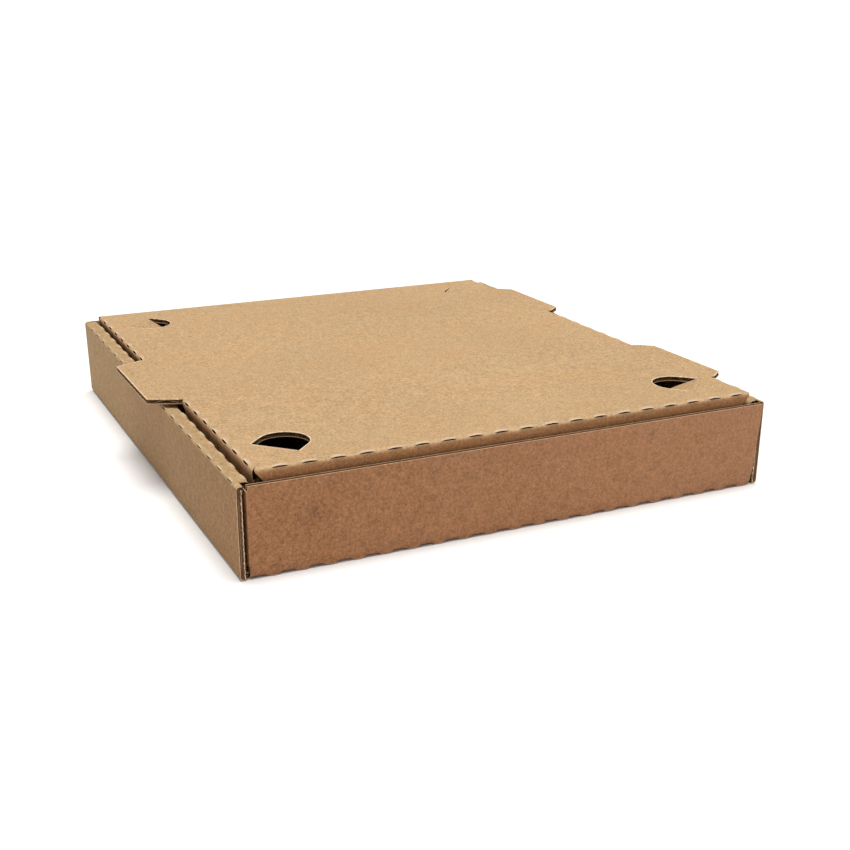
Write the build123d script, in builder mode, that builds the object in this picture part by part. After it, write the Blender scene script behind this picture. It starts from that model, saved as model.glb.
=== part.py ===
from build123d import *
from math import cos, radians, sin, sqrt
import os

# A one-piece corrugated pizza box, standing closed on its base. Millimetres, +Z up, front towards -Y.
# Origin: middle of the underside of the base.

# ---- driving dimensions -------------------------------------------------------------------------
box_width = 305.0             # outside, side wall to side wall
box_depth = 325.0             # outside, front wall to back wall
wall_height = 47.5            # floor to the top of the ledges
board = 2.7                   # thickness of the corrugated board
fold_radius = 1.2             # outside radius of a creased fold
layer_gap = 0.2               # air between two layers of board that lie side by side

front_wall_drop = 0.5         # how far the front wall's cut edge stays below the ledges
corner_flap_length = 62.0     # dust flaps of the front and back walls, trapped in the side walls
lock_tab_length = 36.0        # tabs that lock the inner side panels into the base
lock_tab_spacing = 170.0      # between the middles of the two tabs on one side

hinge_gap = 0.15              # running gap between the lid's rear fold and the back wall
lid_side_gap = 0.3            # between a lid flap and the inner side panel
lid_front_gap = 0.4           # between the lid's front flap and the front wall, where they come closest
lid_lift = 0.57               # degrees that the closed lid springs up at the front
flap_floor_gap = 9.0          # from the base up to the lower edge of the lid's flaps, lid pressed flat
front_flap_end_gap = 1.2      # between the ends of the front flap and the side flaps
front_flap_taper = 9.0        # how far each end of the front flap slants in towards its lower edge
side_flap_taper = 14.0        # how far each end of a side flap slants in towards its lower edge
side_flap_rear_gap = 2.5      # between a side flap and the back wall

tab_slant = 7.0               # how far each end of a ledge tab slants in
left_tab_reach = 16.5         # from the lid's side fold to the outer edge of the left tab
left_tab_length = 84.0        # along the fold
right_tab_reach = 9.5
right_tab_length = 76.0
right_tab_spacing = 176.0     # between the middles of the two right tabs

vent_width = 25.5             # width of a vent flap, which is also the diameter of its round end
vent_length = 23.5            # from its crease to the tip of its round end
vent_cut = 0.25               # width of the cut round a vent flap
vent_inset_x = 28.7           # from the outside of the side wall to the middle of the crease
vent_inset_y = 27.5           # from the outside of the front or back wall to the middle of the crease
vent_bend = {                 # degrees that each vent flap is pushed in
    "front_left": 64.0,
    "front_right": 26.0,
    "back_left": 24.0,
    "back_right": 7.0,
}

# ---- sizes worked out from them -----------------------------------------------------------------
half_width = box_width / 2
half_depth = box_depth / 2
flap_pocket = board + 2 * layer_gap                   # room inside a side wall for the dust flaps
ledge_width = 2 * board + flap_pocket
end_wall_half = half_width - board - layer_gap        # front and back walls fit between the side walls
front_wall_height = wall_height - front_wall_drop

hinge_y = half_depth - board / 2
hinge_z = wall_height + hinge_gap + board / 2
lid_half = half_width - ledge_width - lid_side_gap
lid_reach = hinge_y + half_depth - board - lid_front_gap    # hinge axis to the lid's front fold
flap_depth = hinge_z - board - flap_floor_gap               # hinge axis to the flaps' lower edges
flap_foot_reach = sqrt(lid_reach**2 - flap_depth**2)        # so the flap's foot swings clear of the wall

lid_plane = Plane(
    origin=(0, hinge_y, hinge_z),
    x_dir=(1, 0, 0),
    z_dir=(0, sin(radians(lid_lift)), cos(radians(lid_lift))),
)
lid_side_plane = Plane(origin=lid_plane.origin, x_dir=lid_plane.y_dir, z_dir=lid_plane.x_dir)

os.makedirs("parts", exist_ok=True)


# ---- tray: base, walls, ledges, inner panels and dust flaps, folded from one sheet ----------------
lock_tab_x = half_width - ledge_width + board / 2

with BuildPart() as tray:
    # Base and outer side panels, one section along the whole depth.
    with BuildSketch(Plane.XZ.offset(-half_depth)) as outer_section:
        with Locations((0, wall_height / 2)):
            Rectangle(box_width, wall_height)
        fillet(outer_section.vertices(), fold_radius)
        with Locations((0, board)):
            Rectangle(box_width - 2 * board, wall_height, align=(Align.CENTER, Align.MIN), mode=Mode.SUBTRACT)
    extrude(amount=box_depth)

    # The front and back walls rise from the base between the side walls.
    with Locations((0, -half_depth, 0), (0, half_depth, 0)):
        Box(2 * end_wall_half, 2 * board, 2 * board, mode=Mode.SUBTRACT)
    for outside, inward, height in ((-half_depth, 1, front_wall_height), (half_depth, -1, wall_height)):
        with BuildSketch(Plane.YZ) as wall_section:
            with Locations((outside + inward * board / 2, height / 2)):
                Rectangle(board, height)
            fold_corner = wall_section.vertices().sort_by(Axis.Z)[:2].sort_by(Axis.Y)[0 if inward > 0 else -1]
            fillet(fold_corner, fold_radius)
        extrude(amount=end_wall_half, both=True)

    # Ledges and inner side panels, rolled over and down between the front and back walls.
    with BuildSketch(Plane.XZ) as inner_section:
        for side in (-1, 1):
            with BuildLine():
                Polyline(
                    (side * half_width, wall_height - board),
                    (side * half_width, wall_height),
                    (side * (half_width - ledge_width), wall_height),
                    (side * (half_width - ledge_width), board + layer_gap),
                    (side * (half_width - ledge_width + board), board + layer_gap),
                    (side * (half_width - ledge_width + board), wall_height - board),
                    close=True,
                )
            make_face()
        fillet(inner_section.vertices().group_by(Axis.Z)[-1], fold_radius)
    extrude(amount=half_depth - board - layer_gap, both=True)

    # Dust flaps fold back from the ends of the front and back walls into the side walls.
    with BuildSketch(Plane.XY.offset(board + layer_gap)):
        for side in (-1, 1):
            for end in (-1, 1):
                with Locations(
                    (side * (end_wall_half - board / 2), end * (half_depth - corner_flap_length / 2))
                ):
                    Rectangle(board, corner_flap_length)
    extrude(amount=wall_height - 2 * board - 2 * layer_gap)

    # Lock tabs of the inner panels stand in slots through the base.
    lock_places = [
        (side * lock_tab_x, end * lock_tab_spacing / 2) for side in (-1, 1) for end in (-1, 1)
    ]
    with BuildSketch():
        with Locations(*lock_places):
            Rectangle(board + 2 * layer_gap, lock_tab_length + 2 * layer_gap)
    extrude(amount=board, mode=Mode.SUBTRACT)
    with BuildSketch(Plane.XY.offset(layer_gap)):
        with Locations(*lock_places):
            Rectangle(board, lock_tab_length)
    extrude(amount=board + 2 * layer_gap)

tray.part.label = "tray"
export_step(tray.part, "parts/tray.step")


# ---- vents: where each one is creased, in the lid's plane -----------------------------------------
vent_straight = vent_length - vent_width / 2

def vent_plane(name):
    """The lid's middle plane at a vent: origin on the crease, X along it, Y towards the round end."""
    side = -1 if name.endswith("left") else 1
    end = -1 if name.startswith("front") else 1
    crease_middle = lid_plane.from_local_coords(
        (side * (half_width - vent_inset_x), end * (half_depth - vent_inset_y) - hinge_y, 0)
    )
    inward = lid_plane.x_dir * -side + lid_plane.y_dir * -end
    return Plane(origin=crease_middle, x_dir=inward.cross(lid_plane.z_dir), z_dir=lid_plane.z_dir)

def vent_outline(half, root):
    """Outline of a vent: straight sides from `root` behind the crease, then a half circle."""
    with BuildSketch() as outline:
        with BuildLine():
            Polyline((-half, vent_straight), (-half, -root), (half, -root), (half, vent_straight))
            ThreePointArc((half, vent_straight), (0, vent_straight + half), (-half, vent_straight))
        make_face()
    return outline.sketch


# ---- lid: top panel, front flap, side flaps and ledge tabs, the same sheet beyond the rear fold ------
left_tabs = [(-hinge_y, left_tab_length, left_tab_reach)]
right_tabs = [(-hinge_y + end * right_tab_spacing / 2, right_tab_length, right_tab_reach) for end in (-1, 1)]

def tab_outline(middle, length, reach):
    """Corners of a ledge tab: distance along the fold, and distance out from it."""
    return [
        (middle - length / 2, 0),
        (middle - length / 2 + tab_slant, reach),
        (middle + length / 2 - tab_slant, reach),
        (middle + length / 2, 0),
    ]

with BuildPart() as lid:
    # Top panel, with its rear fold rounded about the hinge axis.
    with BuildSketch(lid_side_plane) as panel_section:
        with Locations((-lid_reach / 2, 0)):
            Rectangle(lid_reach, board)
        fillet(panel_section.vertices().group_by(Axis.Z)[-1].sort_by(Axis.Y)[0], fold_radius)
        Circle(board / 2)
    extrude(amount=lid_half, both=True)

    # Front flap: leans in so that it swings clear of the front wall.
    flap_top = lid_plane.from_local_coords(Vector(0, -lid_reach, 0))
    flap_foot = lid_plane.from_local_coords(Vector(0, -flap_foot_reach, -flap_depth))
    flap_slope = (flap_foot - flap_top).normalized()
    front_flap_plane = Plane(origin=flap_top, x_dir=(1, 0, 0), z_dir=flap_slope.cross(Vector(1, 0, 0)))
    front_flap_half = lid_half - board - front_flap_end_gap
    with BuildSketch(front_flap_plane):
        with BuildLine():
            Polyline(
                (-front_flap_half, 0),
                (front_flap_half, 0),
                (front_flap_half - front_flap_taper, -(flap_foot - flap_top).length),
                (-front_flap_half + front_flap_taper, -(flap_foot - flap_top).length),
                close=True,
            )
        make_face()
    extrude(amount=board, dir=-front_flap_plane.z_dir)

    for side, tabs in ((-1, left_tabs), (1, right_tabs)):
        # Side flap, with a window where each tab was cut out of it.
        with BuildSketch(lid_side_plane.offset(side * (lid_half - board))):
            with BuildLine():
                Polyline(
                    (-lid_reach + board, 0),
                    (-board / 2 - side_flap_rear_gap, 0),
                    (-board / 2 - side_flap_rear_gap - side_flap_taper, -flap_depth),
                    (-flap_foot_reach + board + side_flap_taper, -flap_depth),
                    close=True,
                )
            make_face()
        extrude(amount=side * board)
        with BuildSketch(lid_side_plane.offset(side * (lid_half - board))):
            for tab in tabs:
                with BuildLine():
                    Polyline(*[(along, -board / 2 - out) for along, out in tab_outline(*tab)], close=True)
                make_face()
        extrude(amount=side * board, mode=Mode.SUBTRACT)

        # The tabs stay in the lid's plane and lie over the ledge.
        with BuildSketch(lid_plane):
            for tab in tabs:
                with BuildLine():
                    Polyline(*[(side * (lid_half + out), along) for along, out in tab_outline(*tab)], close=True)
                make_face()
        extrude(amount=board / 2, both=True)

    # Vent holes. Each leaves room behind the crease for the rounded root of its flap.
    for name in vent_bend:
        with BuildSketch(vent_plane(name)):
            add(vent_outline(vent_width / 2 + vent_cut, board / 2 + vent_cut))
        extrude(amount=board, both=True, mode=Mode.SUBTRACT)

lid.part.label = "lid"
export_step(lid.part, "parts/lid.step")


# ---- vent flaps: half-punched from the lid, each bent down about its crease -------------------------
for name, bend in vent_bend.items():
    flat = vent_plane(name)
    bent_up = flat.z_dir * cos(radians(bend)) + flat.y_dir * sin(radians(bend))
    bent = Plane(origin=flat.origin, x_dir=flat.x_dir, z_dir=bent_up)
    with BuildPart() as vent_flap:
        with BuildSketch(bent):
            add(vent_outline(vent_width / 2, 0))
        extrude(amount=board / 2, both=True)
        with BuildSketch(Plane(origin=bent.origin, x_dir=bent.y_dir, z_dir=bent.x_dir)):
            Circle(board / 2)
        extrude(amount=vent_width / 2, both=True)
    vent_flap.part.label = f"vent_flap_{name}"
    export_step(vent_flap.part, f"parts/vent_flap_{name}.step")

print(f"lid hinge axis at y {hinge_y:.3f}, z {hinge_z:.3f}")
for name in vent_bend:
    crease = vent_plane(name)
    print(f"{name} crease at {tuple(round(v, 3) for v in crease.origin)}, along {tuple(round(v, 5) for v in crease.x_dir)}")
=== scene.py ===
import math

import bpy
from mathutils import Matrix, Vector


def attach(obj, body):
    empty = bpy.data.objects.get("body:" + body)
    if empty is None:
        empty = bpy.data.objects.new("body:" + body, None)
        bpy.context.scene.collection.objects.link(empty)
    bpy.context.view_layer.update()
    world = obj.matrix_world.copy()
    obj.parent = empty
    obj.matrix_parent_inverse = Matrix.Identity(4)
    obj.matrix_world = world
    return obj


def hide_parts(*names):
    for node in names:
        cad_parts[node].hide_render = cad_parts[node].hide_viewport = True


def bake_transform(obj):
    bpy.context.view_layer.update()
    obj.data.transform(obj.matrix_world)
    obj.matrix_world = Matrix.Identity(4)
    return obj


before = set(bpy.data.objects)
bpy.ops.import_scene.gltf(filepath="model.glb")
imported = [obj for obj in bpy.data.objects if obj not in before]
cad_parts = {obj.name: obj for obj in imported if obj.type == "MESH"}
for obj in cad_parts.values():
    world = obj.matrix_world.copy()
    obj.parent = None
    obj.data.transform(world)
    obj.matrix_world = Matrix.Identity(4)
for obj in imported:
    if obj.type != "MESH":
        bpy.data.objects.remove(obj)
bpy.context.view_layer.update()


# ---- Floor, light and camera -------------------------------------------------------------------
# The box stands on a wide pale table top, under one large soft lamp overhead and a little behind,
# with even room light all round.
MM = 0.001          # the scene is in metres, and the box's sizes are in millimetres
bpy.ops.object.select_all(action="DESELECT")
bpy.ops.mesh.primitive_plane_add(size=80, location=(0, 0, -0.3 * MM))
floor = bpy.context.object
floor.name = "floor"
pale = bpy.data.materials.new("pale_table")
pale.use_nodes = True
table_top = pale.node_tree.nodes["Principled BSDF"].inputs
table_top["Base Color"].default_value = (0.93, 0.935, 0.94, 1)
table_top["Roughness"].default_value = 0.9
table_top["Specular IOR Level"].default_value = 0.1
floor.data.materials.append(pale)

sun = bpy.data.lights.new("overhead_lamp", "SUN")
sun.energy = 3.1
sun.angle = math.radians(32)
sun.color = (1.0, 0.985, 0.96)
lamp = bpy.data.objects.new("overhead_lamp", sun)
lamp.rotation_euler = Vector((-0.03, -0.01, -1.0)).to_track_quat("-Z", "Y").to_euler()
bpy.context.collection.objects.link(lamp)

room = bpy.data.worlds.new("room")
room.use_nodes = True
room_light = room.node_tree.nodes["Background"].inputs
room_light["Color"].default_value = (0.97, 0.985, 1.0, 1)
room_light["Strength"].default_value = 0.38
bpy.context.scene.world = room
bpy.context.scene.view_settings.view_transform = "Standard"

eye = bpy.data.cameras.new("camera")
eye.lens = 50.85
eye.sensor_width = 36
eye.shift_x = 0.0417
eye.shift_y = 0.1519
eye.clip_start = 0.02
camera = bpy.data.objects.new("camera", eye)
camera.matrix_world = (
    Matrix.Translation((-0.3005, -0.6485, 0.2520))
    @ Matrix.Rotation(math.radians(-24.83), 4, "Z")
    @ Matrix.Rotation(math.radians(90 - 25.25), 4, "X")
    @ Matrix.Rotation(math.radians(0.30), 4, "Z")
)
bpy.context.collection.objects.link(camera)
bpy.context.scene.camera = camera


# ---- Base ---------------------------------------------------------------------------------------
# The bottom of the tray: B-flute board, a wavy paper glued between two plain brown kraft liners, with
# four slots punched through it for the lock tabs. Every other part of the box is the same sheet, folded.
BOARD = 2.7 * MM          # the whole board
LINER = 0.35 * MM          # each of its two liners
PITCH = 6.5 * MM          # from one flute to the next


def kraft(name, colour, across="Y", grain=1.0, offset=0.0, smudge=None):
    """Brown kraft liner: cloudy colour, short fibres, and a trace of the fluting under it, whose waves
    repeat along `across`. The mesh's `wear_and_painted_light` attribute pales it above 0, for wear and
    painted highlights, and darkens it below 0 with painted shade."""
    made = bpy.data.materials.new(name)
    made.use_nodes = True
    tree = made.node_tree
    shader = tree.nodes["Principled BSDF"]

    def node(kind, **sockets):
        n = tree.nodes.new(kind)
        for key, value in sockets.items():
            n.inputs[key.replace("_", " ")].default_value = value
        return n

    def sums(kind, a, b):
        n = tree.nodes.new("ShaderNodeMath")
        n.operation = kind
        for socket, value in zip(n.inputs, (a, b)):
            if isinstance(value, (int, float)):
                socket.default_value = value
            else:
                tree.links.new(value, socket)
        return n.outputs[0]

    where = tree.nodes.new("ShaderNodeTexCoord").outputs["Object"]

    def noise(scale, detail, stretch=(1, 1, 1), rough=0.55):
        moved = tree.nodes.new("ShaderNodeMapping")
        moved.inputs["Location"].default_value = (offset, offset * 1.7, offset * 0.6)
        moved.inputs["Scale"].default_value = stretch
        tree.links.new(where, moved.inputs["Vector"])
        n = node("ShaderNodeTexNoise", Scale=scale, Detail=detail, Roughness=rough)
        tree.links.new(moved.outputs[0], n.inputs["Vector"])
        return n.outputs["Fac"]

    clouds = noise(11, 2)
    mottle = noise(190, 5, rough=0.7)
    grains = noise(750, 5, rough=0.8)
    fibres = noise(420, 3, (3.2, 0.55, 3.2), 0.7)
    cross_fibres = noise(380, 3, (0.5, 3.0, 2.2), 0.7)
    value = sums("MULTIPLY_ADD", clouds, 0.16)
    value.node.inputs[2].default_value = 1 - 0.08
    for layer, depth in ((mottle, 0.5), (grains, 2.2), (fibres, 0.4), (cross_fibres, 0.25)):
        value = sums("ADD", value, sums("MULTIPLY", sums("SUBTRACT", layer, 0.5), depth * grain))
    if smudge:
        # a faint thumb mark, fading out over 13 mm
        away = tree.nodes.new("ShaderNodeVectorMath")
        away.operation = "DISTANCE"
        away.inputs[1].default_value = Vector(smudge) * MM
        tree.links.new(where, away.inputs[0])
        near = node("ShaderNodeMapRange", From_Min=13 * MM, From_Max=2 * MM, To_Min=0.0, To_Max=0.26)
        near.interpolation_type = "SMOOTHSTEP"
        tree.links.new(away.outputs["Value"], near.inputs["Value"])
        value = sums("SUBTRACT", value, sums("MULTIPLY", near.outputs["Result"], mottle))
    tinted = node("ShaderNodeMix")
    tinted.data_type = "RGBA"
    tinted.inputs["A"].default_value = (*colour, 1)
    tinted.inputs["B"].default_value = (colour[0] * 1.04, colour[1] * 0.90, colour[2] * 0.78, 1)
    tree.links.new(noise(30, 3), tinted.inputs["Factor"])
    shaded = node("ShaderNodeHueSaturation")
    tree.links.new(tinted.outputs["Result"], shaded.inputs["Color"])
    tree.links.new(value, shaded.inputs["Value"])
    # paler where the attribute is above 0: worn crease edges and painted highlights on the bends and
    # lips
    wear_and_painted_light = node("ShaderNodeMix")
    wear_and_painted_light.data_type = "RGBA"
    paler = [min(1, part * more) for part, more in zip(colour, (1.5, 1.65, 2.1))]
    wear_and_painted_light.inputs["B"].default_value = (*paler, 1)
    tree.links.new(shaded.outputs[0], wear_and_painted_light.inputs["A"])
    wear_light_shade = tree.nodes.new("ShaderNodeAttribute")
    wear_light_shade.attribute_name = "wear_and_painted_light"
    patchy = sums("ADD", sums("MULTIPLY", mottle, 0.8), 0.35)
    tree.links.new(sums("MULTIPLY", wear_light_shade.outputs["Fac"], patchy), wear_and_painted_light.inputs["Factor"])
    # darker and redder where the attribute is below 0: painted shade
    painted_shade = node("ShaderNodeMix")
    painted_shade.data_type = "RGBA"
    painted_shade.blend_type = "MULTIPLY"
    painted_shade.inputs["B"].default_value = (0.76, 0.55, 0.44, 1)
    tree.links.new(wear_and_painted_light.outputs["Result"], painted_shade.inputs["A"])
    tree.links.new(sums("MULTIPLY", wear_light_shade.outputs["Fac"], -1.0), painted_shade.inputs["Factor"])
    tree.links.new(painted_shade.outputs["Result"], shader.inputs["Base Color"])
    tree.links.new(sums("ADD", sums("MULTIPLY", grains, 0.2), 0.72), shader.inputs["Roughness"])
    shader.inputs["Specular IOR Level"].default_value = 0.25
    split = tree.nodes.new("ShaderNodeSeparateXYZ")
    tree.links.new(where, split.inputs[0])
    ribs = sums("SINE", sums("MULTIPLY", split.outputs[across], 2 * math.pi / PITCH), 0)
    fibrous = sums("ADD", grains, sums("MULTIPLY", fibres, 0.8))
    rough = tree.nodes.new("ShaderNodeBump")
    rough.inputs["Strength"].default_value = 0.35
    rough.inputs["Distance"].default_value = 0.25 * MM
    tree.links.new(sums("ADD", sums("MULTIPLY", ribs, 0.045), fibrous), rough.inputs["Height"])
    tree.links.new(rough.outputs[0], shader.inputs["Normal"])
    return made


def select_only(*pieces):
    bpy.ops.object.select_all(action="DESELECT")
    for piece in pieces:
        piece.select_set(True)
    bpy.context.view_layer.objects.active = pieces[0]


def apply_modifier(piece, kind, **settings):
    select_only(piece)
    modifier = piece.modifiers.new(kind.lower(), kind)
    for key, value in settings.items():
        setattr(modifier, key, value)
    bpy.ops.object.modifier_apply(modifier=modifier.name)


def blank(outline, low, high, materials):
    """A flat blank: a round disc whose rim is moved to the outline, in mm, then thickened."""
    bpy.ops.object.select_all(action="DESELECT")
    bpy.ops.mesh.primitive_circle_add(vertices=len(outline), fill_type="NGON")
    piece = bpy.context.object
    for corner, (x, y) in zip(piece.data.vertices, outline):
        corner.co = (x * MM, y * MM, low)
    bpy.ops.object.mode_set(mode="EDIT")
    bpy.ops.mesh.select_all(action="SELECT")
    bpy.ops.mesh.extrude_region_move(TRANSFORM_OT_translate={"value": (0, 0, high - low)})
    bpy.ops.mesh.select_all(action="SELECT")
    bpy.ops.mesh.normals_make_consistent(inside=False)
    bpy.ops.object.mode_set(mode="OBJECT")
    for material in materials:
        piece.data.materials.append(material)
    for face in piece.data.polygons:
        face.material_index = 0 if abs(face.normal.z) > 0.5 else len(materials) - 1
    return piece


def flute_paper(outline, material):
    """The wavy paper between the liners, its flutes along X, die-cut to the outline."""
    xs, ys = [p[0] * MM for p in outline], [p[1] * MM for p in outline]
    waves = math.ceil((max(ys) - min(ys)) / PITCH) + 1
    middle = ((max(xs) + min(xs)) / 2, min(ys) + waves * PITCH / 2 - PITCH / 3, -BOARD / 2)
    bpy.ops.object.select_all(action="DESELECT")
    bpy.ops.mesh.primitive_grid_add(x_subdivisions=1, y_subdivisions=waves * 10, size=1, location=middle)
    wave = bpy.context.object
    wave.scale = (max(xs) - min(xs) + 4 * MM, waves * PITCH, 1)
    bpy.ops.object.transform_apply(location=True, rotation=True, scale=True)
    for point in wave.data.vertices:
        point.co.z += (BOARD / 2 - LINER - 0.08 * MM) * math.sin(2 * math.pi * point.co.y / PITCH)
    wave.data.materials.append(material)
    apply_modifier(wave, "SOLIDIFY", thickness=0.2 * MM, offset=0)
    cutter = blank(outline, -2 * BOARD, BOARD, [material])
    apply_modifier(wave, "BOOLEAN", object=cutter, operation="INTERSECT", solver="EXACT")
    bpy.data.objects.remove(cutter)
    return wave


def board(name, outline, liner, holes=()):
    """Corrugated board lying face up, its outer face at Z 0 and its flutes along X: an outer liner,
    the fluting and an inner liner."""
    layers = [
        blank(outline, -LINER, 0, [liner, cut_edge]),
        blank(outline, -BOARD, -BOARD + LINER, [liner, cut_edge]),
        flute_paper(outline, fluting),
    ]
    for hole in holes:
        for layer in layers:
            punch = blank(hole, -2 * BOARD, BOARD, [liner, cut_edge])
            apply_modifier(layer, "BOOLEAN", object=punch, operation="DIFFERENCE", solver="EXACT")
            bpy.data.objects.remove(punch)
    return glue(name, layers)


def glue(name, pieces):
    select_only(*pieces)
    bpy.ops.object.join()
    joined = bpy.context.object
    joined.name = name
    joined.data.name = name
    return joined


def set_down(piece, place):
    """Moves a piece to its place, and keeps the place in its mesh."""
    piece.matrix_world = place
    select_only(piece)
    bpy.ops.object.transform_apply(location=True, rotation=True, scale=True)
    return piece


def turned_to(along, outward):
    """The turn that takes X to `along` and Z to `outward`."""
    z, x = Vector(outward).normalized(), Vector(along).normalized()
    return Matrix((x, z.cross(x), z)).transposed().to_4x4()


def fold_to(piece, origin, along, outward):
    """Swings a piece from lying flat to its place, with its outer face outward. Origin in mm."""
    return set_down(piece, Matrix.Translation(Vector(origin) * MM) @ turned_to(along, outward))


def finish_piece(piece, body, slot, *nodes):
    select_only(piece)
    bpy.ops.object.shade_smooth_by_angle(angle=math.radians(38))
    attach(piece, body)
    if nodes:
        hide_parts(*nodes)


CUT_LENGTH = 8.4          # of one perforation, mm
FRONT_STEP = 14.6          # from one perforation to the next, across the box
SIDE_STEP = 16.3          # and along its sides


def first_cut(length, centre, from_end=False, step=FRONT_STEP):
    """Where a crease's first perforation starts, so that one is centred `centre` from an end."""
    at = ((length - centre if from_end else centre) - CUT_LENGTH / 2) % step
    return at if at > 0.6 else at + step


def choose(piece, kind, parts, wanted):
    """Enters edit mode with only the wanted faces or edges selected."""
    select_only(piece)
    bpy.ops.object.mode_set(mode="EDIT")
    bpy.ops.mesh.select_mode(type=kind)
    bpy.ops.mesh.select_all(action="DESELECT")
    bpy.ops.object.mode_set(mode="OBJECT")
    for part in parts:
        part.select = wanted(part)
    bpy.ops.object.mode_set(mode="EDIT")


def weld(piece):
    select_only(piece)
    bpy.ops.object.mode_set(mode="EDIT")
    bpy.ops.mesh.select_mode(type="VERT")
    bpy.ops.mesh.select_all(action="SELECT")
    bpy.ops.mesh.remove_doubles(threshold=1e-6)
    bpy.ops.object.mode_set(mode="OBJECT")


def run_on(skin, at, target):
    """Draws the open end of a crease's skin along X, from `at` to `target`."""
    points = skin.data.vertices
    choose(
        skin, "EDGE", skin.data.edges,
        lambda edge: all(abs(points[i].co.x - at * MM) < 1e-6 for i in edge.vertices),
    )
    bpy.ops.mesh.extrude_edges_move(TRANSFORM_OT_translate={"value": ((target - at) * MM, 0, 0)})
    bpy.ops.object.mode_set(mode="OBJECT")


def crease(
    name, length, top, side, liner,
    cut_at=None, radius=1.4, lean=0.0, painted_shade_below=0.0, step=FRONT_STEP, gape=0.3,
):
    """A folded crease, along X from 0, in mm: the sheet comes from +Y at Z 0, rounds the corner, and
    goes down at Y 0. Between the perforations the liner is drawn round the bend. Where it is cut, both
    edges run on straight instead, stand proud as two small lips, and leave a slit between them.
    `cut_at` is where the first cut starts, and `painted_shade_below` darkens the side that goes down
    with painted shade. The bend and the lips are paled for wear and painted highlight."""

    def bow(t):
        return radius * (1 - math.sin(t * math.pi / 2)), -radius * (1 - math.cos(t * math.pi / 2))

    lip = radius * (1 - math.pi / 4) + gape
    root = max(radius * 0.5, lip + 0.4)
    ends = radius + 0.8
    bends = [bow(t) for t in (0.15, 0.32, 0.5, 0.5, 0.68, 0.85)]
    rounded = [(top, 0), (ends, 0), *bends, (0, -ends), (0, -side)]
    parted = [
        (top, 0), (ends, 0), (radius * 0.85, 0), (root, 0), (lip, 0),
        (0, -lip), (0, -root), (0, -radius * 0.9), (0, -ends), (0, -side),
    ]
    rows = len(rounded) - 1
    if cut_at is None:
        count, stops = 0, [0.0, length]
    else:
        count = int((length - cut_at - CUT_LENGTH - 0.5) // step) + 1
        stops = [CUT_LENGTH * share for share in (0, 0.05, *(k / 8 for k in range(1, 8)), 0.95, 1)]
        stops += [CUT_LENGTH + (step - CUT_LENGTH) * k / 3 for k in (1, 2, 3)]
    bpy.ops.object.select_all(action="DESELECT")
    bpy.ops.mesh.primitive_grid_add(x_subdivisions=len(stops) - 1, y_subdivisions=rows, size=1)
    skin = bpy.context.object
    wear_light_shade = skin.data.attributes.new("wear_and_painted_light", "FLOAT", "POINT")
    per_row = len(stops)
    for point in skin.data.vertices:
        row, column = divmod(point.index, per_row)
        row = rows - row
        x = stops[column]
        part = max(0.0, math.sin(math.pi * x / CUT_LENGTH)) ** 0.6 if count and x < CUT_LENGTH else 0.0
        y, z = (a + (b - a) * part for a, b in zip(rounded[row], parted[row]))
        point.co = (x * MM, (y - z * lean) * MM, z * MM)
        # the bend and the upper lips are paled for wear and painted highlight, and the rows that go down
        # are darkened as painted shade
        wear_and_highlight = {2: 0.1 + 0.35 * part, 3: 0.25 + 0.75 * part, 4: 0.35 + 0.8 * part, 5: 0.35 - 0.35 * part}
        shaded = {5: part * 0.6, 6: 0.6, 7: 0.9, 8: 1, 9: 1}
        wear_light_shade.data[point.index].value = wear_and_highlight.get(row, 0) - painted_shade_below * shaded.get(row, 0)
    skin.data.materials.append(liner)
    skin.data.materials.append(cut_edge)
    if count:
        slit = {rows - 5, rows - 4}          # the two rows of points that meet halfway round the bend
        choose(
            skin, "FACE", skin.data.polygons,
            lambda face: {i // per_row for i in face.vertices} == slit
            and max(stops[i % per_row] for i in face.vertices) <= CUT_LENGTH + 1e-6,
        )
        bpy.ops.mesh.delete(type="FACE")
        bpy.ops.object.mode_set(mode="OBJECT")
        weld(skin)
        apply_modifier(
            skin, "ARRAY", count=count,
            use_relative_offset=False, use_constant_offset=True,
            constant_offset_displace=(step * MM, 0, 0), use_merge_vertices=True, merge_threshold=2e-6,
        )
        for point in skin.data.vertices:
            point.co.x += cut_at * MM
        run_on(skin, cut_at, 0.0)
        end = cut_at + count * step
        if length > end:
            run_on(skin, end, length)
        else:
            bpy.ops.object.mode_set(mode="EDIT")
            bpy.ops.mesh.select_all(action="SELECT")
            bpy.ops.mesh.bisect(plane_co=(length * MM, 0, 0), plane_no=(1, 0, 0), clear_outer=True)
            bpy.ops.object.mode_set(mode="OBJECT")
    else:
        weld(skin)
    apply_modifier(skin, "SOLIDIFY", thickness=LINER, offset=-1, material_offset_rim=1)
    for face in skin.data.polygons:
        if face.material_index and face.normal.z > 0.5:
            face.material_index = 0         # the lower lip of a slit lies in its shade
    layers = [skin]
    # the inner liner, and crushed fluting painted near black for the shade seen down the slits
    for depth, material in (((BOARD - LINER) / MM, liner), (1.5, crushed_flutes_painted_shade)):
        bend = [
            (top, -depth), (depth + 0.7, -depth), (depth + 0.15, -depth - 0.15),
            (depth, -depth - 0.7), (depth, -side),
        ]
        bpy.ops.object.select_all(action="DESELECT")
        bpy.ops.mesh.primitive_grid_add(x_subdivisions=1, y_subdivisions=4, size=1)
        sheet = bpy.context.object
        for point in sheet.data.vertices:
            y, z = bend[4 - point.index // 2]
            point.co = ((point.index % 2) * length * MM, (y - z * lean) * MM, z * MM)
        sheet.data.materials.append(material)
        apply_modifier(sheet, "SOLIDIFY", thickness=LINER * 0.98, offset=-1)
        layers.append(sheet)
    return glue(name, layers)


# the tray's kraft is darker than the lid's, though both are one sheet: painted shade on the tray's walls
# and ledges
tray_shaded_liner = kraft("tray_kraft_painted_shade", (0.40, 0.277, 0.143), "Y", offset=3.1)
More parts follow.
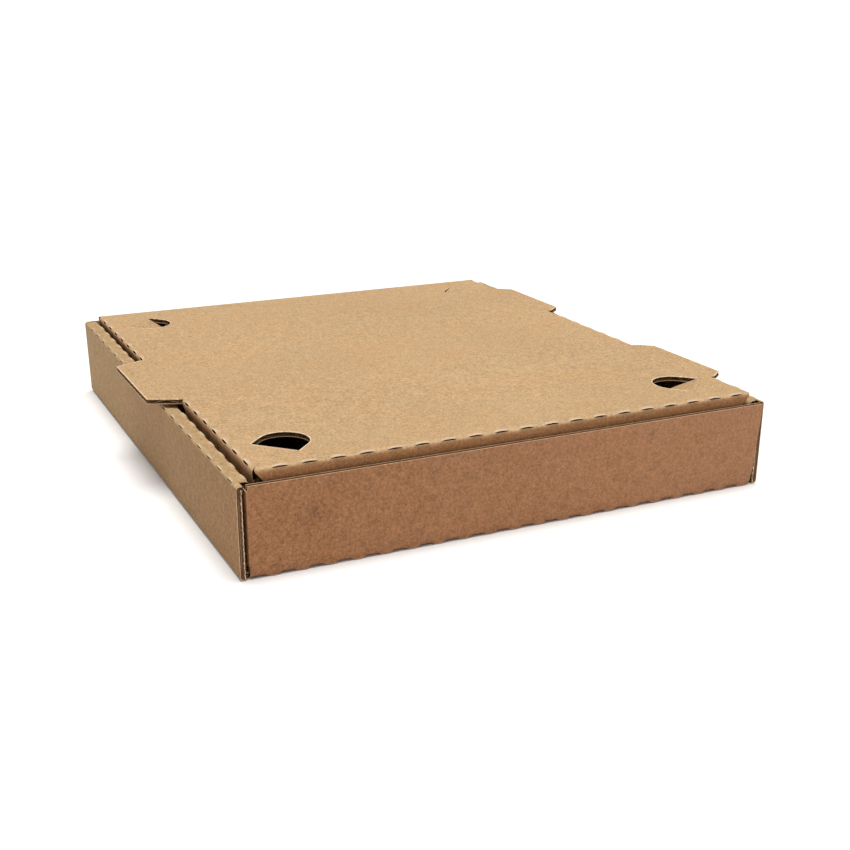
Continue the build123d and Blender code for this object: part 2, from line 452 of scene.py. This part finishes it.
# the front wall's kraft is a darker, redder copy of the lid's: painted shade on the front-facing wall
# and its creases
front_wall_shaded_liner = kraft(
    "front_wall_kraft_painted_shade", (0.362, 0.178, 0.084), "Z", grain=1.15, offset=7.7, smudge=(-114, -162.5, 28.5)
)
# crushed fluting, near black: the fluting's colour with painted shade of open flutes and slits
crushed_flutes_painted_shade = kraft("crushed_flutes_painted_shade", (0.125, 0.064, 0.031), "Z", grain=2.0, offset=6.3)
cut_edge = kraft("cut_edge", (0.66, 0.50, 0.33), "Y", offset=5.0)
# the fluting paper, darker than the liners: partly its own tone, partly painted shade inside the board's
# cut edges
fluting = kraft("fluting_paper_painted_shade", (0.23, 0.14, 0.07), "Y", offset=9.0)

half_width, half_depth, wall_height = 152.5, 162.5, 47.5
base_rim = 5.2          # the base's creases take up this much of it
fold_side = 6          # and run this far up the walls
lock_x, lock_y = 145.35, 85          # the middles of the lock tabs' slots
slot = ((-1.55, -18.2), (1.55, -18.2), (1.55, 18.2), (-1.55, 18.2))
slots = [
    [(side * lock_x + x, end * lock_y + y) for x, y in slot]
    for side in (-1, 1)
    for end in (-1, 1)
]
w, d = half_width - base_rim, half_depth - base_rim
base = board("base", [(-w, -d), (w, -d), (w, d), (-w, d)], tray_shaded_liner, slots)
set_down(base, Matrix.Rotation(math.pi, 4, "X"))
run = 147.3          # half the front crease's length
front_crease = crease(
    "front_crease", 2 * run, base_rim, fold_side, front_wall_shaded_liner,
    cut_at=first_cut(2 * run, 268.2), radius=3.5, gape=-0.5,
)
fold_to(front_crease, (run, -half_depth, 0), (-1, 0, 0), (0, 0, -1))
run = 148.8
back_crease = crease("back_crease", 2 * run, base_rim, fold_side, tray_shaded_liner, cut_at=9.0, radius=2.6)
fold_to(back_crease, (-run, half_depth, 0), (1, 0, 0), (0, 0, -1))
base = glue("base", [base, back_crease])
finish_piece(base, "tray", "tray_board", "tray")


# ---- Side walls ---------------------------------------------------------------------------------
# Each side of the tray is one strip of the sheet, creased up from the base, over a narrow ledge, and
# down again inside, where two lock tabs hold it in the base. The ledge's two creases are perforated.
torn_edge = kraft("torn_liner", (0.86, 0.74, 0.58), "Y", grain=1.6, offset=8.1)


def trim(piece, point, outward):
    """Cuts a piece off along a straight line, as the die does. What lies beyond the point goes."""
    select_only(piece)
    bpy.ops.object.mode_set(mode="EDIT")
    bpy.ops.mesh.select_mode(type="VERT")
    bpy.ops.mesh.select_all(action="SELECT")
    bpy.ops.mesh.bisect(
        plane_co=Vector(point) * MM, plane_no=Vector(outward).normalized(),
        use_fill=True, clear_outer=True,
    )
    bpy.ops.object.mode_set(mode="OBJECT")


def bar(name, xs, ys, zs, material):
    """A straight strip with bevelled corners, between two places in mm on each axis."""
    spans = [sorted(span) for span in (xs, ys, zs)]
    bpy.ops.object.select_all(action="DESELECT")
    bpy.ops.mesh.primitive_cube_add(size=1, location=[(a + b) / 2 * MM for a, b in spans])
    piece = bpy.context.object
    piece.name = name
    piece.scale = [(b - a) * MM for a, b in spans]
    bpy.ops.object.transform_apply(location=True, rotation=True, scale=True)
    bpy.ops.object.mode_set(mode="EDIT")
    bpy.ops.mesh.select_all(action="SELECT")
    bpy.ops.mesh.bevel(offset=0.25 * MM, segments=2)
    bpy.ops.object.mode_set(mode="OBJECT")
    piece.data.materials.append(material)
    return piece


def tear(strip):
    """Lets a torn liner's straight edge wander a little as it goes up."""
    select_only(strip)
    bpy.ops.object.mode_set(mode="EDIT")
    bpy.ops.mesh.select_all(action="DESELECT")
    bpy.ops.object.mode_set(mode="OBJECT")
    points = strip.data.vertices
    for edge in strip.data.edges:
        a, b = (points[i].co for i in edge.vertices)
        edge.select = (a - b).length > 30 * MM
    bpy.ops.object.mode_set(mode="EDIT")
    bpy.ops.mesh.select_mode(type="EDGE")
    bpy.ops.mesh.subdivide(number_cuts=60)
    bpy.ops.object.mode_set(mode="OBJECT")
    for point in strip.data.vertices:
        z = point.co.z / MM
        ragged = math.sin(z * 1.9) + 0.6 * math.sin(z * 3.3 + 1) + 0.4 * math.sin(z * 0.6)
        point.co.x += 0.16 * MM * ragged


wall_half = half_depth - 0.2          # half the outer wall's length
ledge_half = half_depth - 2.9          # and the inner one's
ledge_fold = 4.25          # a ledge is all crease: two of these make its width
ledge_width = 8.5
ledge_cutback = 2.2          # at its front end, from the inner wall's

for name, side in (("left_side", -1), ("right_side", 1)):
    outward = (side, 0, 0)
    inner_x = side * (half_width - ledge_width)
    low = crease(name, 2 * wall_half, base_rim, fold_side, tray_shaded_liner, radius=1.9)
    fold_to(low, (side * half_width, side * wall_half, 0), (0, -side, 0), (0, 0, -1))
    z0, z1 = fold_side, wall_height - fold_side
    outline = [(z0, -wall_half), (z1, -wall_half), (z1, wall_half), (z0, wall_half)]
    outer = board(name, outline, tray_shaded_liner)
    fold_to(outer, (side * half_width, 0, 0), (0, 0, 1), outward)
    for point in low.data.vertices:
        # inside the wall, the base's raw end stands back behind the front wall
        if abs(point.co.x) < 149.5 * MM and abs(point.co.y) > 161 * MM:
            point.co.y *= 160.4 * MM / abs(point.co.y)
    # an outer crease on the left runs towards the front, and the inner one towards the back
    ledge_outer = crease(
        name, 2 * wall_half, ledge_fold, fold_side, tray_shaded_liner,
        cut_at=first_cut(2 * wall_half, 10.8, side < 0, SIDE_STEP), radius=1.9, step=SIDE_STEP,
    )
    ledge_inner = crease(
        name, 2 * ledge_half, ledge_fold, fold_side, tray_shaded_liner,
        cut_at=first_cut(2 * ledge_half, 9.5, side > 0, SIDE_STEP), radius=2.7, step=SIDE_STEP,
    )
    fold_to(ledge_outer, (side * half_width, -side * wall_half, wall_height), (0, side, 0), (0, 0, 1))
    fold_to(ledge_inner, (inner_x, side * ledge_half, wall_height), (0, -side, 0), (0, 0, 1))
    for end, back in ((-1, ledge_cutback), (1, 0)):
        notch = bar("notch", (-3.5, 3.5), (-5, 5), (-6, 8), tray_shaded_liner)
        corner = (side * (half_width - 6.7), end * (ledge_half + 5 - back), wall_height)
        for point in notch.data.vertices:
            point.co += Vector(corner) * MM
        apply_modifier(ledge_outer, "BOOLEAN", object=notch, operation="DIFFERENCE", solver="EXACT")
        bpy.data.objects.remove(notch)
    trim(ledge_inner, (0, ledge_cutback - ledge_half, 0), (0, -1, 0))
    # the raw ends: crushed fluting painted near black for the shade in its open flutes, and a pale torn
    # liner
    crushed = []
    for end in (-1, 1):
        xs = (side * (half_width - 0.34), side * (half_width - 2.36))
        ys = (end * (wall_half - 0.9), end * (wall_half - 0.15))
        crushed.append(bar(name, xs, ys, (0.5, wall_height - 0.6), crushed_flutes_painted_shade))
        xs = (side * (half_width - 2.3), side * (half_width - 2.75))
        ys = (end * (wall_half - 0.8), end * wall_half)
        torn = bar(name, xs, ys, (0.4, wall_height - 1.5), torn_edge)
        tear(torn)
        crushed.append(torn)
    panel = [(2.9, -ledge_half)]
    for middle in (-lock_y, lock_y):
        panel += [(2.9, middle - 18), (0.2, middle - 17.2), (0.2, middle + 17.2), (2.9, middle + 18)]
    panel += [(2.9, ledge_half), (z1, ledge_half), (z1, -ledge_half)]
    inner = board(name, [(x, -side * y) for x, y in panel], tray_shaded_liner)
    fold_to(inner, (inner_x, 0, 0), (0, 0, 1), (-side, 0, 0))
    wall = glue(name, [outer, low, ledge_outer, ledge_inner, inner, *crushed])
    wear_light_shade = wall.data.attributes["wear_and_painted_light"]
    for point in wall.data.vertices:
        # painted shade: the outer face darkens towards the front
        if abs(point.co.x) > (half_width - 0.1) * MM:
            wear_light_shade.data[point.index].value -= 0.7 * (0.5 - point.co.y / (2 * half_depth * MM))
        # the front end of the right wall leans back, so the front wall's fold laps over it at the top
        if point.co.x > 149 * MM:
            near = max(0.0, min(1.0, (-150 * MM - point.co.y) / (12 * MM)))
            point.co.y += near * (0.3 * MM + 2.5 * MM * max(0.0, point.co.z) / (wall_height * MM))
    finish_piece(wall, "tray", "tray_board")


# ---- Front and back walls -----------------------------------------------------------------------
# Each end wall is creased up from the base, and at each of its ends a dust flap is folded back into
# the hollow side wall. The front wall's upper edge is a plain die-cut edge.
corner_x = 149.6          # where the dust flaps turn back
corner_rim = 5          # their creases take up this much of the wall
ear = 148.9          # the wall's reach below and above those creases
flat = corner_x - corner_rim
foot, fold_foot, head = 6.0, 6.4, 44.6          # of the wall's board, and of those creases
dust_foot, dust_reach = 2.9, 62          # of a dust flap

for name, end, liner in (("front_wall", -1, front_wall_shaded_liner), ("back_wall", 1, tray_shaded_liner)):
    top = wall_height - 0.5 if end < 0 else wall_height - 0.1
    right = [(ear, foot), (ear, fold_foot), (flat, fold_foot), (flat, head), (ear, head), (ear, top)]
    outline = [(-ear, foot), *right, *((-x, z) for x, z in right[:0:-1])]
    wall = board(name, outline, liner)
    fold_to(wall, (0, end * half_depth, 0), (-end, 0, 0), (0, end, 0))
    parts = [wall]
    if end < 0:
        # the raw top edge's fluting, painted near black for the shade between the liners
        xs, ys = (0.5 - ear, ear - 0.5), (0.33 - half_depth, 2.37 - half_depth)
        parts.append(bar(name, xs, ys, (top - 1.6, top - 0.7), crushed_flutes_painted_shade))
    for side in (-1, 1):
        up = -end * side            # which way the crease runs
        radius = 0.8 if end < 0 else 1.5
        fold = crease(name, head - fold_foot, corner_rim, fold_side, liner, radius=radius)
        start = (side * corner_x, end * half_depth, fold_foot if up > 0 else head)
        fold_to(fold, start, (0, 0, up), (0, end, 0))
        turn = -side * end          # the flap's flutes run away from the end wall
        outline = [(fold_side, dust_foot * turn), (dust_reach, dust_foot * turn)]
        outline += [(dust_reach, head * turn), (fold_side, head * turn)]
        flap = board(name, outline, liner)
        fold_to(flap, (side * corner_x, end * half_depth, 0), (0, -end, 0), (side, 0, 0))
        parts += [fold, flap]
    wall = glue(name, parts)
    if end < 0:
        # the front wall's ends are drawn in a little, the right one more towards the floor
        for point in wall.data.vertices:
            outer_share = max(0.0, min(1.0, (abs(point.co.x) - 135 * MM) / (14 * MM)))
            front_share = max(0.0, min(1.0, (-138 * MM - point.co.y) / (18 * MM)))
            shift = 0.4 - 2.0 * (1 - point.co.z / (47 * MM)) if point.co.x > 0 else 1.9
            point.co.x += outer_share * front_share * shift * MM
        # painted light: the front face pales a little towards the right, and all behind it is browner
        # with painted shade
        for piece in (wall, front_crease):
            wear_light_shade = piece.data.attributes["wear_and_painted_light"]
            for point in piece.data.vertices:
                if point.co.y < (0.1 - half_depth) * MM:
                    wear_light_shade.data[point.index].value += 0.32 * (0.5 + point.co.x / (2 * half_width * MM))
                elif piece is wall and point.co.y > (2.8 - half_depth) * MM:
                    wear_light_shade.data[point.index].value = -1.0
    finish_piece(wall, "tray", "tray_board")
finish_piece(front_crease, "tray", "tray_board")


# ---- Lid ----------------------------------------------------------------------------------------
# The lid is the same sheet beyond the rear crease: a flat panel, perforated creases down to a front
# flap and two side flaps, and three tabs left flat to rest on the ledges. Four vents are punched in it.
lid_liner = kraft("lid_kraft", (0.46, 0.32, 0.176), "Y", offset=1.3)

hinge_y, hinge_z = 161.15, 49.0
lid_half, lid_reach = 143.6, 320.55          # half its width, and from its hinge to its front fold
flap_depth, foot_reach = 37.3, 318.37          # of the flaps, and from the hinge to the front one's foot
lid_rim, flap_rim = 6.0, 7          # what the lid's creases take up of the lid and of its flaps
flat_x, flat_y = lid_half - lid_rim, lid_reach - lid_rim
rear_end = -0.6          # the lid's board stops this far short of the hinge
side_lean = 0.30          # the side folds lean in, so a dark gap opens beside the ledges
tab_root, tab_slant = 143.7, 7
tabs = {          # each tab's middle along the lid, length and reach, on the left and on the right
    -1: [(-hinge_y, 84.0, 16.5)],
    1: [(-hinge_y - 88, 76.0, 9.5), (-hinge_y + 88, 76.0, 9.5)],
}
to_lid = (
    Matrix.Translation((0, hinge_y * MM, hinge_z * MM))
    @ Matrix.Rotation(math.radians(-0.57), 4, "X")
    @ Matrix.Translation((0, 0, BOARD / 2))
)


def lid_side(side):
    """One side of the lid panel's outline, from front to back."""
    points = [(side * flat_x, -flat_y)]
    for middle, length, reach in tabs[side]:
        a, b, tip = middle - length / 2, middle + length / 2, side * (tab_root + reach)
        points += [(side * flat_x, a), (side * lid_half, a), (tip, a + tab_slant)]
        points += [(tip, b - tab_slant), (side * lid_half, b), (side * flat_x, b)]
    return [*points, (side * flat_x, rear_end)]


vents = {"front_left": (-1, -1), "front_right": (1, -1), "back_left": (-1, 1), "back_right": (1, 1)}
vent_x, vent_y = 123.8, 135          # the middle of each vent's crease, from the middle of the box
vent_half, vent_reach = 25.5 / 2, 23.5


def vent_outline(half, root):
    """A tongue with a round end, creased along X. `root` is how far it runs past its crease."""
    steps, straight = 24, vent_reach - vent_half
    arc = [
        (half * math.cos(math.pi * k / steps), straight + half * math.sin(math.pi * k / steps))
        for k in range(steps + 1)
    ]
    return [(-half, -root), (half, -root)] + arc


def on_lid(name, points):
    """Vent outline points, moved to the vent's place on the flat lid."""
    side, end = vents[name]
    middle = Vector((side * vent_x, end * vent_y - hinge_y))
    inward = Vector((-side, -end)).normalized()
    along = Vector((inward.y, -inward.x))
    return [tuple(middle + along * x + inward * y) for x, y in points]


def burr(points, lift=-0.14, thick=0.28):
    """The pale, torn rim that a dulled die leaves standing along a cut edge."""
    path = bpy.data.curves.new("burr", "CURVE")
    path.dimensions = "3D"
    line = path.splines.new("POLY")
    line.points.add(len(points) - 1)
    for point, (x, y) in zip(line.points, points):
        point.co = (x * MM, y * MM, lift * MM, 1)
    path.bevel_depth = thick * MM
    path.bevel_resolution = 1
    path.use_fill_caps = True
    piece = bpy.data.objects.new("burr", path)
    bpy.context.collection.objects.link(piece)
    select_only(piece)
    bpy.ops.object.convert(target="MESH")
    piece = bpy.context.object
    piece.data.materials.clear()
    piece.data.materials.append(torn_edge)
    return piece


outline = lid_side(-1)[::-1] + lid_side(1)
holes = [on_lid(name, vent_outline(vent_half + 0.25, 1.75)) for name in vents]
parts = [board("lid_panel", outline, lid_liner, holes)]
# painted shade: the front fold darkens on its way down to the flap
front_fold = crease(
    "lid_front", 2 * lid_half, lid_rim, flap_rim, lid_liner,
    cut_at=first_cut(2 * lid_half, 14.1), radius=2.8,
    painted_shade_below=1.0, lean=(lid_reach - foot_reach) / flap_depth,
)
fold_to(front_fold, (-lid_half, -lid_reach, 0), (1, 0, 0), (0, 0, 1))
for side in (-1, 1):
    trim(front_fold, (side * (lid_half - 0.1), -lid_reach, 0), (side, 1, -0.78))
parts.append(front_fold)
for side in (-1, 1):
    # the side folds run from tab to tab, and their cuts keep step all along the lid
    edges = [-lid_reach]
    for middle, length, _ in tabs[side]:
        edges += [middle - length / 2, middle + length / 2]
    edges.append(rear_end)
    for a, b in zip(edges[::2], edges[1::2]):
        # painted shade: each side fold darkens on its way down, beside the dark gap at the ledge
        fold = crease(
            "lid_side", b - a, lid_rim, flap_rim, lid_liner,
            cut_at=first_cut(b - a, (11.9 - (a + lid_reach)) % SIDE_STEP, side < 0, SIDE_STEP),
            radius=2.8, painted_shade_below=0.5, lean=side_lean, step=SIDE_STEP, gape=0.65,
        )
        fold_to(fold, (side * lid_half, a if side > 0 else b, 0), (0, side, 0), (0, 0, 1))
        if a == -lid_reach:
            trim(fold, (side * lid_half, 0.1 - lid_reach, 0), (-side, -1, -0.42))
        if b == rear_end:
            trim(fold, (0, rear_end, -0.4), (0, 7, -3.9))
        parts.append(fold)
hole_burrs = {"front_left": 0.28, "front_right": 0.28, "back_left": 0.22, "back_right": 0.15}
for name, thick in hole_burrs.items():
    rim = vent_outline(vent_half + 0.3, 0.0)[1:] + [(-vent_half - 0.3, 0.0)]
    parts.append(burr(on_lid(name, rim), thick=thick))
for side in (-1, 1):
    for middle, length, reach in tabs[side]:
        tip = reach - 0.32
        rim = [
            (side * (tab_root + out), middle + end * (length / 2 - back))
            for out, end, back in ((0.5, -1, 0.5), (tip, -1, 7.3), (tip, 1, 7.3), (0.5, 1, 0.5))
        ]
        parts.append(burr(rim))
lid = set_down(glue("lid_panel", parts), to_lid)
finish_piece(lid, "lid", "lid_board", "lid")


# ---- Lid flaps ----------------------------------------------------------------------------------
# The front flap tucks behind the front wall, leaning in a little, and the side flaps hang inside the
# side walls, each with a window where its tab was cut out. All three end in die-cut edges.
# the front flap's kraft is a darker, redder copy of the lid's: painted shade behind the front wall
front_flap_shaded_liner = kraft("lid_flap_kraft_painted_shade", (0.350, 0.176, 0.0775), "X", offset=4.9)

lean = Vector((0, lid_reach - foot_reach, -flap_depth)).normalized()
x = lid_half - 5.7
outline = [(-x, -flap_rim), (9 - x, -flap_depth), (x - 9, -flap_depth), (x, -flap_rim)]
front_flap = board("lid_front_flap", outline, front_flap_shaded_liner)
fold_to(front_flap, (0, -lid_reach, 0), (1, 0, 0), Vector((1, 0, 0)).cross(-lean))
set_down(front_flap, to_lid)
finish_piece(front_flap, "lid", "lid_board")
for name, side in (("lid_left_flap", -1), ("lid_right_flap", 1)):
    # outline as (depth below the lid's face, distance along the lid)
    outline = [(flap_rim, 3.4 - lid_reach), (flap_depth, 16.7 - foot_reach)]
    outline += [(flap_depth, -17.85), (flap_rim, -4.6)]
    for middle, length, reach in reversed(tabs[side]):
        a, b, tip = middle - length / 2, middle + length / 2, BOARD / MM / 2 + reach
        outline += [(flap_rim, b), (tip, b - tab_slant), (tip, a + tab_slant), (flap_rim, a)]
    flap = board(name, [(x, side * y) for x, y in outline], lid_liner)
    wear_light_shade = flap.data.attributes.new("wear_and_painted_light", "FLOAT", "POINT")
    for point in flap.data.vertices:
        # painted shade: the outer face is darkened from the fold down, and fades
        if point.co.z > -1.5 * LINER:
            fade = (point.co.x / MM - flap_depth) / (flap_depth - flap_rim)
            wear_light_shade.data[point.index].value = 0.5 * min(0.0, fade)
    fold_to(flap, (side * (lid_half - flap_rim * side_lean), 0, 0), (0, 0, -1), (side, 0, 0))
    set_down(flap, to_lid)
    finish_piece(flap, "lid", "lid_board")


# ---- Vent flaps ---------------------------------------------------------------------------------
# Each vent is a round-ended flap of the lid's own board, punched on three sides and creased on the
# fourth. A thumb has pushed each one in, more or less far.
pushed_in = {"front_left": 64, "front_right": 26, "back_left": 24, "back_right": 7}          # degrees
flap_burrs = {"front_left": 0.25, "front_right": 0.2, "back_left": 0.15, "back_right": 0.15}
mid = BOARD / MM / 2          # half the board's thickness


def at_vent(name):
    """The middle of a vent's crease, with X along it and Y towards the vent's round end."""
    side, end = vents[name]
    middle = Vector((side * vent_x, end * vent_y - hinge_y, -mid)) * MM
    inward, up = Vector((-side, -end, 0)).normalized(), Vector((0, 0, 1))
    return to_lid @ Matrix.Translation(middle) @ turned_to(inward.cross(up), up)


for name in vents:
    rim = vent_outline(vent_half - 0.3, -0.6)[1:] + [(0.3 - vent_half, 0.6)]
    flap = board(f"vent_{name}", vent_outline(vent_half, -0.5), lid_liner)
    flap = glue(f"vent_{name}", [flap, burr(rim, -0.16, flap_burrs[name])])
    down = Matrix.Rotation(-math.radians(pushed_in[name]), 4, "X")
    set_down(flap, at_vent(name) @ down @ Matrix.Translation((0, 0, BOARD / 2)))
    finish_piece(flap, f"vent_flap_{name}", "lid_board", f"vent_flap_{name}")


# ---- Living creases -----------------------------------------------------------------------------
# Where a part turns on a crease, both liners run on across it. The outer liner stretches round the
# bend and the inner one gathers into it, at the lid's rear crease and at each vent.
def living_crease(name, bend, half, place, wear_and_highlight=0.3):
    """A liner across a joint, `half` mm to each side. `bend` is its section as (across, up) in mm."""
    bpy.ops.object.select_all(action="DESELECT")
    bpy.ops.mesh.primitive_grid_add(x_subdivisions=1, y_subdivisions=len(bend) - 1, size=1)
    strip = bpy.context.object
    strip.name = name
    wear_light_shade = strip.data.attributes.new("wear_and_painted_light", "FLOAT", "POINT")
    for point in strip.data.vertices:
        row, column = divmod(point.index, 2)
        y, z = bend[row]
        point.co = ((2 * column - 1) * half * MM, y * MM, z * MM)
        # the middle rows are paled for wear and painted highlight round the bend
        wear_light_shade.data[point.index].value = wear_and_highlight if 0 < row < len(bend) - 1 else 0.0
    strip.data.materials.append(lid_liner)
    apply_modifier(strip, "SOLIDIFY", thickness=0.3 * MM, offset=-1)
    set_down(strip, place)
    bpy.ops.object.shade_smooth_by_angle(angle=math.radians(60))
    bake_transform(strip)


at_hinge = Matrix.Translation((0, hinge_y * MM, hinge_z * MM))
turned = [(mid * math.cos(math.radians(a)), mid * math.sin(math.radians(a))) for a in range(0, 90, 10)]
bend = [(-0.62, mid + 0.006), (0, mid), *turned[::-1], (mid, -1.7)]
living_crease("rear_crease_outside", bend, 143.0, at_hinge)
bend = [(-mid, -1.9), (-mid, -1.55), (-1.15, 0.3 - mid), (-0.8, 0.35 - mid), (-0.62, -mid)]
living_crease("rear_crease_inside", bend, 143.0, at_hinge)

root = -1.85          # a vent's liners are held this far behind its crease, past the end of the hole
for name in vents:
    down = math.radians(pushed_in[name])
    turned = [(mid * math.sin(down * k / 6), mid * math.cos(down * k / 6)) for k in range(7)]
    (y, z), (c, d) = turned[-1], (math.cos(down), math.sin(down))
    bend = [(root, mid), (-0.4, mid), *turned, (y + 0.5 * c, z - 0.5 * d)]
    flap = f"vent_flap_{name}"
    # wear and painted highlight on the bend, most on the front left vent's
    living_crease(
        f"vent_{name}_crease_outside", bend, 12.7, at_vent(name),
        wear_and_highlight=0.5 if name == "front_left" else 0.06,
    )
    y, z = 0.5 * c - mid * d, -0.5 * d - mid * c
    bend = [(y, z), ((y + root) / 2, 0.4 - mid), (root + 0.2 + 0.1 * c, 0.25 - mid), (root, -mid)]
    living_crease(f"vent_{name}_crease_inside", bend, 12.7, at_vent(name))
